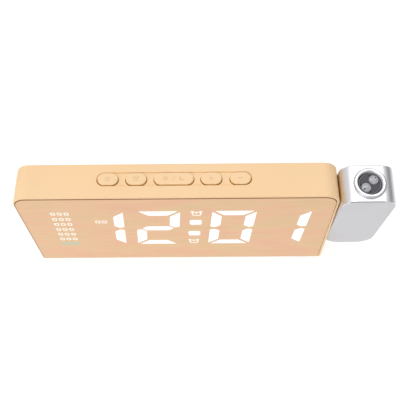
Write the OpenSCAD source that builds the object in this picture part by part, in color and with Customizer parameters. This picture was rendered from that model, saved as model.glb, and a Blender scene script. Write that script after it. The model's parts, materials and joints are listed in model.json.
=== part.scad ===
// Slim bedside clock with a lit front display, five keys on top and a swivelling
// ceiling projector on its right-hand side. Millimetres, +Z up, +Y to the back.
// The origin is on the surface it stands on, under the middle of the whole object.

/* [Case] */
// Width of the case
case_w = 185; // [183:1:192]
// Height of the case without its feet
case_h = 85; // [85:0.5:88]
// Depth of the case, front to back
case_d = 22; // [22:0.5:25]
// Radius of the two top corners, seen from the front
case_r_top = 8.5; // [7:0.5:10]
// Radius of the two bottom corners, seen from the front
case_r_bottom = 1.5; // [0.8:0.1:3]
// Wall thickness of the case
wall = 1.7; // [1.6:0.1:2]
// Width of the rim seen round the front panel
rim = 1.25; // [1:0.05:1.5]
// Gap between the rim and the front panel
panel_gap = 0.35; // [0.15:0.05:0.4]
// How far the front panel stands out of the rim
panel_proud = 0.3; // [0.2:0.1:0.6]
// How far the rubber feet stand out of the underside
foot_h = 1.0; // [0.6:0.1:2]

/* [Display] */
// Height of a digit
digit_h = 45.4; // [42:0.2:47]
// Width of a digit
digit_w = 25.8; // [25:0.1:26.8]
// Thickness of an upright segment
segment_t = 5.9; // [5:0.1:6.4]
// Thickness of a level segment
bar_t = 5.6; // [4.6:0.1:6]
// Gap between neighbouring segments
segment_gap = 1.9; // [1:0.1:2.2]
// Lean of the digits, in degrees
slant = 3.5; // [0:0.5:5]

/* [Keys] */
// Front to back size of a key
key_d = 7.9; // [7:0.1:8]
// Width of the four small keys
key_w = 11.9; // [10.5:0.1:12.5]
// Width of the middle key
wide_key_w = 22.5; // [20:0.5:23]
// How far a key stands above the recess it sits in
key_proud = 0.95; // [0.6:0.05:1.1]
// Gap round a key
key_gap = 0.3; // [0.2:0.05:0.35]

/* [Projector head] */
// Width of the projector head
head_w = 30.4; // [30.2:0.1:33]
// Height of the projector head when upright
head_h = 74; // [73:0.5:76]
// Depth of the projector head
head_d = 22; // [22:0.5:23]
// Radius of the head's two top corners, seen from the front
head_r = 8; // [7:0.5:10]
// Radius of the head's two bottom corners, seen from the front
head_r_low = 10.5; // [7:0.5:11]
// Lean of the head towards the front as it rests, in degrees
head_tilt = 7; // [0:0.5:10]
// Gap between the case and the head
head_gap = 0.3; // [0.3:0.1:0.8]
// Outer radius of the focus ring
focus_r = 9; // [9:0.1:9.3]

/* [Hidden] */
$fn = 48;
e = 0.5;                                    // overshoot of a cut

// Whole object along X, and the shift that centres it on the origin
total_x = case_w + head_gap + head_w;
shift_x = -(head_gap + head_w) / 2;

// Front to back stations of the case
front_y = -case_d / 2;
back_y = case_d / 2;
film_t = 0.3;
panel_t = 2.2;
panel_shift = -0.3;                         // the panel sits a little to the left in the rim
film_y = front_y - panel_proud;             // front of the film
panel_y = film_y + film_t;                  // front of the panel
seat_y = panel_y + panel_t + 0.1;           // ledge that the panel is glued to
ledge_t = 1.2;
ledge_w = 3.2;
mirror_y = seat_y;                          // front of the reflector frame
mirror_d = 5;
board_t = 1.6;
board_y = mirror_y + mirror_d;              // front of the display board
board_back = board_y + board_t;
cover_t = 1.8;
cover_y = back_y - cover_t;                 // inside of the back cover

// Display layout
digit_z = 46.1;
digit_right = [-32.6, 0.7, 45.1, 76.9];     // right edges at half height
digit_x = [for (r = digit_right) r - digit_w / 2];
ALL_SEGMENTS = [0, 1, 2, 3, 4, 5, 6];
lit = [[1, 2], [0, 1, 3, 4, 6], [0, 1, 2, 3, 4, 5], [1, 2]];
day_x = -74.2;
day_z = [for (r = [0:6]) 66.2 - 6.9 * r];
mark_w = 2.8;
mark_h = 3.6;
mark_pitch = 3.95;
pm_x = -49.05;
pm_z = 53.6;
pm_w = 3.1;
pm_h = 3.6;
pm_pitch = 3.9;
board_x0 = -82;
board_x1 = 84;
board_z0 = 13.5;
board_z1 = 76.4;

// Keys
key_y = 0.95;                               // middle line of the keys
key_x = [-38.25, -22.2, -0.9, 20.2, 36.6];
key_ws = [key_w, key_w, wide_key_w, key_w, key_w];
recess_depth = 0.5;
recess_z = case_h - recess_depth;
roof_z = case_h - wall;                     // underside of the top wall
switch_h = 3.3;
switch_w = 4.5;
key_board_z = case_h - 11.7;                // underside of the keypad board
switch_z = key_board_z + board_t;
post_x = [-52, 50];
post_y = 2.4;

// Corner bosses of the case
boss_top = [case_w / 2 - 5.6, case_h - 5.6];
boss_low = [case_w / 2 - 4.5, 4.4];
board_posts = [[-76, 15.9], [78, 15.9], [-76, 74.1], [78, 74.1]];
foot_x = case_w / 2 - 12;
foot_y = case_d / 2 - 4.3;
foot_r = 3.3;

// Power inlet
socket_x = 60;
socket_z = 10.4;
socket_w = 8.94;
socket_t = 3.26;
power_posts = [[52, 4], [68, 4]];

// Battery
cell_x = -45;
cell_z = 32;
door_w = 27;

// Projector head
pivot_z = case_h - 34.2;
head_x0 = case_w / 2 + head_gap;
head_x = head_x0 + head_w / 2;
head_wall = 1.5;
head_cover_t = 1.5;
sleeve_y = head_d / 2 - head_cover_t;
lens_x = head_x;
top_z = head_h / 2;
axle_r = 4;
bush_bore = 4.05;
bush_r = 6;
head_bosses = [[head_x0 + 3.6, 20], [head_x0 + head_w - 3.6, 20],
               [head_x0 + 3.6, -25], [head_x0 + head_w - 3.6, -25]];
lamp_r = 7.3;
lamp_top = 20.5;
pod_z = -4.2;                               // top of the projector board
lens_offset = [2.25, 2.3];

// ---------- helpers ----------

module place() translate([shift_x, 0, foot_h]) children();

// The head's own frame: its middle on the swivel axis, leaning as it rests
module in_head() place() translate([0, 0, pivot_z]) rotate([head_tilt, 0, 0]) children();

// Extrudes an outline that is drawn as seen from the front, from y0 back to y1
module xz(y0, y1) translate([0, y1, 0]) rotate([90, 0, 0]) linear_extrude(y1 - y0) children();

module along_y(y0, y1, r) translate([0, y1, 0]) rotate([90, 0, 0]) cylinder(r = r, h = y1 - y0);
module along_x(x0, x1, r) translate([x0, 0, 0]) rotate([0, 90, 0]) cylinder(r = r, h = x1 - x0);

// Rectangle standing on z = 0, with its own radius for the top and the bottom corners
module arch(w, h, rt, rb) {
  translate([-w / 2, rb]) square([w, h - rt - rb]);
  translate([-w / 2 + rt, h / 2]) square([w - 2 * rt, h / 2]);
  translate([-w / 2 + rb, 0]) square([w - 2 * rb, h / 2]);
  for (s = [-1, 1]) {
    translate([s * (w / 2 - rt), h - rt]) circle(rt);
    translate([s * (w / 2 - rb), rb]) circle(rb);
  }
}

module pill(w, d) {
  square([w - d, d], center = true);
  for (s = [-1, 1]) translate([s * (w - d) / 2, 0]) circle(d / 2);
}

module round_box(x0, x1, z0, z1, r) translate([(x0 + x1) / 2, z0]) arch(x1 - x0, z1 - z0, r, r);

// The case's outline, drawn in by a distance
module case_outline(i) translate([0, i])
  arch(case_w - 2 * i, case_h - 2 * i, max(case_r_top - i, 0.4), max(case_r_bottom - i, 0.4));

module head_outline(i) translate([head_x, -head_h / 2 + i])
  arch(head_w - 2 * i, head_h - 2 * i, head_r - i, head_r_low - i);

// Screw along Y with its head at the back end, where y = 0
module screw(r, len, hr, ht) difference() {
  union() {
    along_y(-len, 0.01 - ht, r);
    along_y(-ht, 0, hr);
  }
  for (a = [0, 90]) rotate([0, a, 0]) translate([-hr * 0.6, -0.45, -0.25]) cube([hr * 1.2, 1, 0.5]);
}

// ---------- display shapes ----------

// A segment's outline comes from the digit's width and height, the two stroke
// thicknesses and the gap; its corners are rounded off by the last function
function half_top(w, h, t, b, g) = [[-w / 2 + 0.71 * g, h / 2], [w / 2 - 0.71 * g, h / 2],
  [w / 2 - t - 0.71 * g, h / 2 - b], [-w / 2 + t + 0.71 * g, h / 2 - b]];
function upright(w, h, t, b, g) = [[w / 2, h / 2 - 0.71 * g], [w / 2, 0.16 * t + g / 2],
  [w / 2 - 0.48 * t, 0.04 * t + g / 2], [w / 2 - t, 0.47 * t + g / 2], [w / 2 - t, h / 2 - b - 0.71 * g]];
function bar(w, t, b, g) = let(m = 0.45 * t + 0.35 * g) [[-w / 2 + m, 0], [-w / 2 + m + 0.55 * b, b / 2],
  [w / 2 - m - 0.55 * b, b / 2], [w / 2 - m, 0], [w / 2 - m - 0.55 * b, -b / 2], [-w / 2 + m + 0.55 * b, -b / 2]];
function corner(a, b, c, r) = let(u = (a - b) / norm(a - b), v = (c - b) / norm(c - b))
  [for (k = [0:3]) b + r * (u * pow(1 - k / 3, 2) + v * pow(k / 3, 2))];
function rounded(p, r) = let(n = len(p))
  [for (i = [0:n - 1]) for (q = corner(p[(i + n - 1) % n], p[i], p[(i + 1) % n], r)) q];
function flip(p, sx, sz) = [for (q = p) [sx * q[0], sz * q[1]]];

// Segments run clockwise from the top, and the middle bar comes last
function segment(s) =
  s == 0 ? half_top(digit_w, digit_h, segment_t, bar_t, segment_gap) :
  s == 1 ? upright(digit_w, digit_h, segment_t, bar_t, segment_gap) :
  s == 2 ? flip(upright(digit_w, digit_h, segment_t, bar_t, segment_gap), 1, -1) :
  s == 3 ? flip(half_top(digit_w, digit_h, segment_t, bar_t, segment_gap), 1, -1) :
  s == 4 ? flip(upright(digit_w, digit_h, segment_t, bar_t, segment_gap), -1, -1) :
  s == 5 ? flip(upright(digit_w, digit_h, segment_t, bar_t, segment_gap), -1, 1) :
  bar(digit_w, segment_t, bar_t, segment_gap);

function segment_middle(s) =
  s == 0 ? [0, (digit_h - bar_t) / 2] :
  s == 1 ? [(digit_w - segment_t) / 2, digit_h / 4] :
  s == 2 ? [(digit_w - segment_t) / 2, -digit_h / 4] :
  s == 3 ? [0, -(digit_h - bar_t) / 2] :
  s == 4 ? [-(digit_w - segment_t) / 2, -digit_h / 4] :
  s == 5 ? [-(digit_w - segment_t) / 2, digit_h / 4] : [0, 0];

function lean(p, x) = [for (q = p) [x + q[0] + q[1] * tan(slant), digit_z + q[1]]];

module digits_2d(which) for (i = [0:3]) for (s = which[i]) polygon(lean(rounded(segment(s), 0.8), digit_x[i]));

module colon_2d() {
  round_box(7.2, 14.3, 50.8, 57.2, 1.4);
  round_box(6.0, 13.2, 35.5, 41.9, 1.4);
}

// Small alarm symbol: a wide dial with two bells and a hand
module alarm_mark() {
  difference() {
    round_box(-2.9, 2.9, -2.7, 2.4, 2.2);
    round_box(-2.05, 2.05, -1.65, 1.3, 1.2);
  }
  for (s = [-1, 1]) translate([s * 2.5, 2.4]) circle(0.95);
  translate([-0.3, -0.2]) square([0.6, 1.8]);
}

// Plain hollow mark
module ring_mark(x, z, w, h) difference() {
  round_box(x, x + w, z - h / 2, z + h / 2, 0.8);
  round_box(x + 0.72, x + w - 0.72, z - h / 2 + 0.9, z + h / 2 - 0.9, 0.3);
}

module day_marks_2d(r) for (c = [0:2]) ring_mark(day_x + 0.2 * (2.75 - r) + c * mark_pitch, day_z[r], mark_w, mark_h);

module days_2d() for (r = [0:5]) day_marks_2d(r);

module status_2d() {
  translate([11.5, 65.4]) alarm_mark();
  translate([9.0, 26.8]) alarm_mark();
  for (c = [0, 1]) ring_mark(pm_x + c * pm_pitch, pm_z + pm_h / 2, pm_w, pm_h);
}

// ---------- case ----------

module key_outline(i, grow) translate([key_x[i], key_y]) pill(key_ws[i] + 2 * grow, key_d + 2 * grow);

module case_shell() place() color([0.96, 0.80, 0.62]) difference() {
  union() {
    difference() {
      xz(front_y, back_y) case_outline(0);
      translate([panel_shift, 0, 0]) xz(front_y - e, seat_y) case_outline(rim);
      xz(seat_y - e, seat_y + ledge_t + e) case_outline(ledge_w);
      xz(seat_y + ledge_t, back_y + e) case_outline(wall);
    }
    // Corner bosses for the back cover's screws
    for (s = [-1, 1]) {
      translate([s * boss_top[0], 0, boss_top[1]]) along_y(0, cover_y, 3);
      translate([s * boss_low[0], 0, boss_low[1]]) along_y(0, cover_y, 3);
    }
    // Hangers for the keypad board
    for (x = post_x) translate([x, post_y, switch_z]) cylinder(r = 2.2, h = roof_z - switch_z + 0.4);
    // Pillars for the power board
    for (p = power_posts) translate([p[0], p[1], wall - 0.4]) cylinder(r = 2.2, h = socket_z - board_t - wall + 0.4);
  }
  for (s = [-1, 1]) {
    translate([s * boss_top[0], 0, boss_top[1]]) along_y(2.5, cover_y + e, 1.25);
    translate([s * boss_low[0], 0, boss_low[1]]) along_y(2.5, cover_y + e, 1.25);
  }
  for (x = post_x) translate([x, post_y, switch_z - e]) cylinder(r = 0.9, h = 5.5 + e);
  for (p = power_posts) translate([p[0], p[1], socket_z - board_t - 4]) cylinder(r = 0.9, h = 4 + e);
  // Shallow recess along the keys, and a slot for each key
  translate([-0.75, 1, recess_z]) linear_extrude(recess_depth + e) pill(87.9, 8.6);
  for (i = [0:4]) translate([0, 0, roof_z - e]) linear_extrude(wall + 2 * e) key_outline(i, key_gap);
  // Bore of the swivel
  translate([0, 0, pivot_z]) along_x(case_w / 2 - wall - e, case_w / 2 + e, bush_r + 0.02);
  // Seats of the feet
  for (x = [-foot_x, foot_x]) for (y = [-foot_y, foot_y])
    translate([x, y, -e]) cylinder(r = foot_r, h = e + 0.6);
}

module rubber_feet() place() color([0.25, 0.24, 0.23])
  for (x = [-foot_x, foot_x]) for (y = [-foot_y, foot_y])
    translate([x, y, -foot_h]) {
      cylinder(r = foot_r - 0.05, h = foot_h + 0.6);
    }

// ---------- front ----------

module front_panel() place() color([0.35, 0.24, 0.16])
  xz(panel_y, panel_y + panel_t) translate([panel_shift, 0]) case_outline(rim + panel_gap);

module wood_grain_film() place() color([0.90, 0.74, 0.60]) xz(film_y, panel_y) difference() {
  translate([panel_shift, 0]) case_outline(rim + panel_gap);
  digits_2d(lit);
  colon_2d();
  days_2d();
  day_marks_2d(6);
  status_2d();
}

module digit_windows() place() color("white") xz(film_y, panel_y) digits_2d(lit);
module colon_windows() place() color("white") xz(film_y, panel_y) colon_2d();
module weekday_windows() place() color([1, 0.97, 0.90]) xz(film_y, panel_y) days_2d();
module active_day_window() place() color([0.59, 0.84, 0.76]) xz(film_y, panel_y) day_marks_2d(6);
module status_windows() place() color([1, 0.97, 0.92]) xz(film_y, panel_y) status_2d();

module reflector_frame() place() color([0.93, 0.93, 0.92]) xz(mirror_y, board_y) difference() {
  translate([board_x0 + 4, 18.6]) square([board_x1 - board_x0 - 4, 52.9]);
  digits_2d([ALL_SEGMENTS, ALL_SEGMENTS, ALL_SEGMENTS, ALL_SEGMENTS]);
  colon_2d();
  for (r = [0:6]) round_box(day_x - 1, day_x + 11.7, day_z[r] - 2.1, day_z[r] + 2.1, 0.7);
  round_box(7.9, 15.1, 61.8, 69.1, 0.7);
  round_box(5.4, 12.6, 23.3, 30.5, 0.7);
  round_box(pm_x - 0.3, pm_x + pm_pitch + pm_w + 0.3, pm_z - 0.3, pm_z + pm_h + 0.3, 0.7);
}

module display_board() place() color([0.12, 0.40, 0.24]) difference() {
  translate([board_x0, board_y, board_z0]) cube([board_x1 - board_x0, board_t, board_z1 - board_z0]);
  for (p = board_posts) translate([p[0], 0, p[1]]) along_y(board_y - e, board_back + e, 1.1);
}

module chip_led(x, z) translate([x - 0.8, board_y - 0.75, z - 0.5]) cube([1.6, 0.75, 1]);

module segment_leds() place() color([1, 0.95, 0.75]) {
  for (i = [0:3]) for (s = ALL_SEGMENTS)
    chip_led(digit_x[i] + segment_middle(s)[0] + segment_middle(s)[1] * tan(slant), digit_z + segment_middle(s)[1]);
  chip_led(10.85, 53.7);
  chip_led(9.65, 38.6);
  chip_led(11.5, 65.5);
  chip_led(9.0, 26.9);
  chip_led(pm_x + (pm_pitch + pm_w) / 2, pm_z + pm_h / 2);
  for (r = [0:6]) chip_led(day_x + 5.3, day_z[r]);
}

module driver_chips() place() color([0.10, 0.10, 0.11]) {
  translate([-8, board_back, 40]) cube([10, 1.6, 10]);
  translate([38, board_back, 30]) cube([9, 1.5, 5.5]);
  translate([38, board_back, 60]) cube([5, 1.5, 4]);
}

module display_board_screws() place() color([0.75, 0.75, 0.77])
  for (p = board_posts) translate([p[0], board_y - 1, p[1]]) rotate([0, 0, 180]) screw(1.05, 9, 1.9, 1);

// ---------- keys ----------

module keypad_board() place() color([0.12, 0.40, 0.24]) difference() {
  translate([-57, board_back + 0.3, key_board_z]) cube([112, back_y - 3.5 - board_back, board_t]);
  for (x = post_x) translate([x, post_y, key_board_z - e]) cylinder(r = 1.1, h = board_t + 2 * e);
}

module keypad_board_screws() place() color([0.75, 0.75, 0.77])
  for (x = post_x) translate([x, post_y, key_board_z - 1]) rotate([-90, 0, 0]) screw(0.88, 7, 1.9, 1);

module tact_switches() place() color([0.16, 0.16, 0.17])
  for (i = [0:4]) translate([key_x[i], key_y, switch_z]) difference() {
    translate([-switch_w / 2, -switch_w / 2, 0]) cube([switch_w, switch_w, switch_h]);
    translate([0, 0, switch_h - 1.2]) cylinder(r = 1.25, h = 1.2 + e);
  }

module keypad_ribbon() place() color([0.85, 0.85, 0.83]) translate([-20, 0, 0]) rotate([90, 0, 90])
  linear_extrude(12) polygon([[4.6, key_board_z], [5, key_board_z], [5, 66], [board_back, 66],
    [board_back, 66.4], [4.6, 66.4]]);

module legend(i) {
  if (i == 0) difference() {
    circle(1.5);
    circle(1.05);
  }
  if (i == 0) translate([-0.2, 0]) square([0.4, 1.05]);
  if (i == 1) alarm_mark_small();
  if (i == 2) {
    translate([-4.6, 0]) circle(0.9);
    for (a = [0:60:300]) translate([-4.6, 0]) rotate(a) translate([1.3, -0.18]) square([0.6, 0.36]);
    rotate(-20) translate([-0.18, -1.6]) square([0.36, 3.2]);
    translate([4.4, 0]) difference() {
      circle(1.5);
      translate([0.8, 0.5]) circle(1.3);
    }
  }
  if (i == 3) {
    square([3, 0.45], center = true);
    square([0.45, 3], center = true);
  }
  if (i == 4) square([3, 0.45], center = true);
}

module alarm_mark_small() {
  difference() {
    circle(1.35);
    circle(0.9);
  }
  for (s = [-1, 1]) translate([s * 1.3, 1.2]) circle(0.4);
}

module key(i) place() color([0.95, 0.79, 0.61]) difference() {
  union() {
    translate([0, 0, roof_z - 0.3]) linear_extrude(recess_z + key_proud - roof_z + 0.3) key_outline(i, 0);
    translate([0, 0, roof_z - 1.2]) linear_extrude(0.9) key_outline(i, 0.8);
    translate([key_x[i], key_y, switch_z + switch_h + 0.9]) cylinder(r = 1.6, h = roof_z - 1 - switch_z - switch_h - 0.9);
  }
  translate([key_x[i], key_y, recess_z + key_proud - 0.15]) linear_extrude(1) legend(i);
}

module plunger(i) place() color([0.85, 0.85, 0.82])
  translate([key_x[i], key_y, switch_z + switch_h - 0.6]) cylinder(r = 1, h = 1.5);

module mode_key() key(0);
module mode_plunger() plunger(0);
module alarm_key() key(1);
module alarm_plunger() plunger(1);
module snooze_key() key(2);
module snooze_plunger() plunger(2);
module plus_key() key(3);
module plus_plunger() plunger(3);
module minus_key() key(4);
module minus_plunger() plunger(4);

// ---------- back ----------

module buzzer() place() color([0.12, 0.12, 0.13]) translate([10, 0, 22.5]) difference() {
  along_y(board_back, board_back + 5, 6);
  along_y(board_back + 3.8, board_back + 5 + e, 1.1);
}

module back_cover() place() color([0.94, 0.78, 0.60]) difference() {
  union() {
    xz(cover_y, back_y) case_outline(wall + 0.15);
    for (p = board_posts) translate([p[0], 0, p[1]]) along_y(board_back, cover_y + 0.4, 2.4);
  }
  for (s = [-1, 1]) for (b = [boss_top, boss_low]) translate([s * b[0], 0, b[1]]) {
    along_y(cover_y - e, back_y + e, 1.5);
    along_y(back_y - 1, back_y + e, 2.7);
  }
  for (p = board_posts) translate([p[0], 0, p[1]]) along_y(board_back - e, board_back + 8.3, 1.05);
  // Battery bay
  translate([cell_x, 0, cell_z]) {
    along_y(cover_y - e, back_y + e, 10.4);
    translate([-door_w / 2 - 0.2, back_y - 1.1, -door_w / 2 - 0.2]) cube([door_w + 0.4, 2, door_w + 0.4]);
  }
  // Power socket
  translate([socket_x, 0, socket_z + socket_t / 2]) xz(cover_y - e, back_y + e) pill(socket_w + 0.6, socket_t + 0.6);
  // Sound holes and cooling slots
  for (x = [-2, 0, 2]) for (z = [-2, 0, 2]) translate([10 + x * 1.4, 0, 22.5 + z * 1.4]) along_y(cover_y - e, back_y + e, 0.7);
  for (k = [0:7]) translate([26 + 4 * k, 0, 64]) rotate([0, 90, 0]) xz(cover_y - e, back_y + e) pill(14, 1.6);
}

module back_cover_screws() place() color([0.72, 0.72, 0.74])
  for (s = [-1, 1]) for (b = [boss_top, boss_low]) translate([s * b[0], back_y - 0.1, b[1]]) screw(1.23, 8, 2.5, 0.9);

module battery_tray() place() color([0.15, 0.15, 0.16]) translate([cell_x, 0, cell_z]) difference() {
  along_y(cover_y - 5.4, cover_y, 12.4);
  along_y(cover_y - 3.9, cover_y + e, 10.3);
}

module battery_contacts() place() color([0.80, 0.78, 0.70]) translate([cell_x, 0, cell_z]) {
  difference() {
    along_y(cover_y - 3.9, cover_y - 3.6, 4);
    along_y(cover_y - 3.9 - e, cover_y - 3.6 + e, 1.5);
  }
  translate([-1.25, cover_y - 3.9, 3.5]) cube([2.5, 0.3, 5.5]);
}

module coin_cell() place() color([0.78, 0.78, 0.80]) translate([cell_x, 0, cell_z]) {
  along_y(cover_y - 3.6, cover_y - 3.1, 8.6);
  along_y(cover_y - 3.1, cover_y - 0.4, 10);
}

module battery_door() place() color([0.93, 0.77, 0.59]) translate([cell_x, 0, cell_z]) difference() {
  union() {
    translate([-door_w / 2, back_y - 1.1, -door_w / 2]) cube([door_w, 1.1, door_w]);
    along_y(cover_y + 0.2, back_y - 1, 10.1);
  }
  // Finger grip
  translate([0, 0, door_w / 2 - 4]) xz(back_y - 0.5, back_y + e) pill(9, 3);
}

module power_board() place() color([0.12, 0.40, 0.24]) difference() {
  translate([48.5, -1.4, socket_z - board_t]) cube([23, back_y - 1.2 - 1.8 + 1.4, board_t]);
  for (p = power_posts) translate([p[0], p[1], socket_z - board_t - e]) cylinder(r = 1.1, h = board_t + 2 * e);
}

module power_board_screws() place() color([0.75, 0.75, 0.77])
  for (p = power_posts) translate([p[0], p[1], socket_z + 1]) rotate([90, 0, 0]) screw(0.88, 6, 1.9, 1);

module power_socket_shell() place() color([0.80, 0.80, 0.82])
  translate([socket_x, 0, socket_z + socket_t / 2]) xz(back_y - 7.4, back_y - 0.1) difference() {
    pill(socket_w, socket_t);
    pill(socket_w - 0.6, socket_t - 0.6);
  }

module power_socket_tongue() place() color([0.12, 0.12, 0.13])
  translate([socket_x, 0, socket_z + socket_t / 2]) {
    translate([-3.35, back_y - 7.4, -0.35]) cube([6.7, 6.2, 0.7]);
    xz(back_y - 7.4, back_y - 6.2) pill(socket_w - 0.64, socket_t - 0.64);
  }

module power_leads() place() color([0.75, 0.15, 0.12]) for (x = [54.5, 56.6]) translate([x, 0.2, 0]) {
  translate([0, 0, socket_z]) cylinder(r = 0.6, h = 7.6);
  translate([0, 0, socket_z + 7.6]) sphere(r = 0.6);
  translate([0, 0, socket_z + 7.6]) along_y(board_back - 0.2, 0, 0.6);
}

// ---------- swivel ----------

module swivel_bush() place() color([0.20, 0.20, 0.21]) translate([0, 0, pivot_z]) difference() {
  union() {
    along_x(case_w / 2 - wall - 1.5, case_w / 2 - wall, 7.2);
    along_x(case_w / 2 - wall, case_w / 2, bush_r);
  }
  along_x(case_w / 2 - 6, case_w / 2 + e, bush_bore);
}

module swivel_axle() in_head() color([0.82, 0.82, 0.84]) difference() {
  union() {
    along_x(case_w / 2 - 8, head_x0 + head_wall, axle_r);
    along_x(head_x0 + head_wall, head_x0 + head_wall + 1.5, 6.5);
  }
  along_x(case_w / 2 - 8 - e, head_x0 + head_wall + 1.5 + e, 2.2);
  difference() {
    along_x(case_w / 2 - 6, case_w / 2 - 5, axle_r + 1);
    along_x(case_w / 2 - 6, case_w / 2 - 5, 3.5);
  }
}

module friction_washer() in_head() color([0.62, 0.62, 0.64]) difference() {
  along_x(case_w / 2 - 5, case_w / 2 - wall - 1.52, 6.8);
  along_x(case_w / 2 - 5 - e, case_w / 2 - wall - 1.5 + e, axle_r + 0.05);
}

module retaining_ring() in_head() color([0.45, 0.45, 0.47]) difference() {
  along_x(case_w / 2 - 5.95, case_w / 2 - 5, 6);
  along_x(case_w / 2 - 7, case_w / 2 - 4, 3.52);
  translate([case_w / 2 - 7, -0.8, -8]) cube([3, 1.6, 8]);
}

module cable_connector() place() color([0.92, 0.91, 0.87])
  translate([66, board_back, pivot_z - 3.5]) cube([6, 4.6, 7]);

module projector_cable() place() color([0.18, 0.18, 0.19])
  translate([0, 0, pivot_z]) along_x(72, head_x0 + head_wall + 2.4, 1.2);

module projector_leads() in_head() color([0.18, 0.18, 0.19]) translate([head_x0 + head_wall + 4, 0, 0]) {
  along_x(-1.3, 0, 1.2);
  sphere(r = 1.2);
  translate([0, 0, pod_z]) cylinder(r = 1.2, h = -pod_z);
}

// ---------- projector head ----------

module head_sleeve() in_head() color([0.86, 0.86, 0.88]) difference() {
  union() {
    xz(-sleeve_y, sleeve_y) difference() {
      head_outline(0);
      head_outline(head_wall);
    }
    for (b = head_bosses) translate([b[0], 0, b[1]]) along_y(-sleeve_y, sleeve_y, 2.4);
  }
  for (b = head_bosses) translate([b[0], 0, b[1]]) along_y(-sleeve_y - e, sleeve_y + e, 1);
  along_x(head_x0 - e, head_x0 + head_wall + e, axle_r + 0.02);
  translate([lens_x, 0, top_z - head_wall - e]) cylinder(r = focus_r - 0.6, h = head_wall + 2 * e);
}

module head_front_cover() in_head() color([0.82, 0.81, 0.83]) {
  xz(-head_d / 2, -sleeve_y) head_outline(0.1);
  for (b = head_bosses) translate([b[0], 0, b[1]]) along_y(-sleeve_y - 0.2, -sleeve_y + 4, 0.97);
  // Shelf under the projector board
  translate([head_x - 8, -sleeve_y - 0.2, pod_z - board_t - 1.4]) cube([16, 1.8, 1.4]);
}

module head_rear_cover() in_head() color([0.82, 0.81, 0.83]) difference() {
  union() {
    xz(sleeve_y, head_d / 2) head_outline(0.1);
    translate([head_x - 8, sleeve_y - 1.6, pod_z - board_t - 1.4]) cube([16, 1.8, 1.4]);
  }
  for (b = head_bosses) translate([b[0], 0, b[1]]) {
    along_y(sleeve_y - e, head_d / 2 + e, 1.15);
    along_y(head_d / 2 - 0.8, head_d / 2 + e, 2.1);
  }
}

module head_screws() in_head() color([0.72, 0.72, 0.74])
  for (b = head_bosses) translate([b[0], head_d / 2 - 0.05, b[1]]) screw(0.97, 9, 1.9, 0.75);

module projector_board() in_head() color([0.12, 0.40, 0.24])
  translate([head_x0 + head_wall + 2.2, -sleeve_y + 0.2, pod_z - board_t])
    cube([head_w - 2 * head_wall - 4.4, 2 * sleeve_y - 0.4, board_t]);

module projector_leds() in_head() color([1, 0.95, 0.75]) for (s = [-1, 1])
  translate([lens_x + s * lens_offset[0] - 1, s * lens_offset[1] - 1, pod_z]) cube([2, 2, 1.2]);

module lamp_house() in_head() color([0.10, 0.10, 0.11]) translate([lens_x, 0, pod_z]) difference() {
  cylinder(r = lamp_r, h = lamp_top - pod_z);
  translate([0, 0, -e]) cylinder(r = 5.4, h = lamp_top - pod_z + 2 * e);
  translate([0, 0, 12]) cylinder(r = 6.05, h = lamp_top - pod_z);
}

module condenser_lens() in_head() color([0.80, 0.88, 0.92]) translate([lens_x, 0, pod_z + 12]) {
  cylinder(r = 6, h = 1.2);
  intersection() {
    translate([0, 0, 1.2]) cylinder(r = 5.6, h = 3);
    translate([0, 0, -5]) sphere(r = 8.35);
  }
}

module image_slide() in_head() color([0.20, 0.22, 0.30])
  translate([lens_x, 0, lamp_top - 1.4]) cylinder(r = 6, h = 1);

module lens_barrel() in_head() color([0.33, 0.33, 0.35]) translate([lens_x, 0, top_z - 15]) difference() {
  union() {
    cylinder(r = focus_r - 2.5, h = 14);
    cylinder(r = focus_r - 2.9, h = 14.8);
  }
  for (s = [-1, 1]) translate([s * lens_offset[0], s * lens_offset[1], 0]) {
    translate([0, 0, -e]) cylinder(r = 2.1, h = 14 + e);
    translate([0, 0, 13]) cylinder(r = 2.78, h = 3);
  }
}

module projection_lenses() in_head() color([0.67, 0.67, 0.69]) for (s = [-1, 1])
  translate([lens_x + s * lens_offset[0], s * lens_offset[1], top_z - 2]) intersection() {
    cylinder(r = 2.75, h = 4);
    translate([0, 0, -1.5]) sphere(r = 4.2);
  }

module focus_ring() in_head() color([0.88, 0.88, 0.90]) translate([lens_x, 0, top_z]) rotate_extrude()
  polygon([[focus_r - 2.15, -4.1], [focus_r - 0.3, -4.1], [focus_r - 0.3, -2.4], [focus_r - 0.9, -2.4],
           [focus_r - 0.9, 0.1], [focus_r + 0.2, 0.1], [focus_r + 0.2, 0.3], [focus_r - 0.35, 1.3],
           [focus_r - 0.6, 1.5], [focus_r - 2.05, 1.5], [focus_r - 2.15, 1.4]]);

case_shell();
front_panel();
wood_grain_film();
digit_windows();
colon_windows();
weekday_windows();
active_day_window();
status_windows();
reflector_frame();
display_board();
segment_leds();
driver_chips();
display_board_screws();
keypad_board();
tact_switches();
keypad_board_screws();
keypad_ribbon();
mode_key();
mode_plunger();
alarm_key();
alarm_plunger();
snooze_key();
snooze_plunger();
plus_key();
plus_plunger();
minus_key();
minus_plunger();
buzzer();
battery_tray();
battery_contacts();
coin_cell();
battery_door();
back_cover();
back_cover_screws();
power_board();
power_board_screws();
power_socket_shell();
power_socket_tongue();
power_leads();
rubber_feet();
swivel_bush();
swivel_axle();
friction_washer();
retaining_ring();
cable_connector();
projector_cable();
projector_leads();
head_sleeve();
head_front_cover();
head_rear_cover();
head_screws();
projector_board();
projector_leds();
lamp_house();
condenser_lens();
image_slide();
lens_barrel();
projection_lenses();
focus_ring();
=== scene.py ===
import json
import math

import bmesh
import bpy
from mathutils import Matrix, Vector


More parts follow.
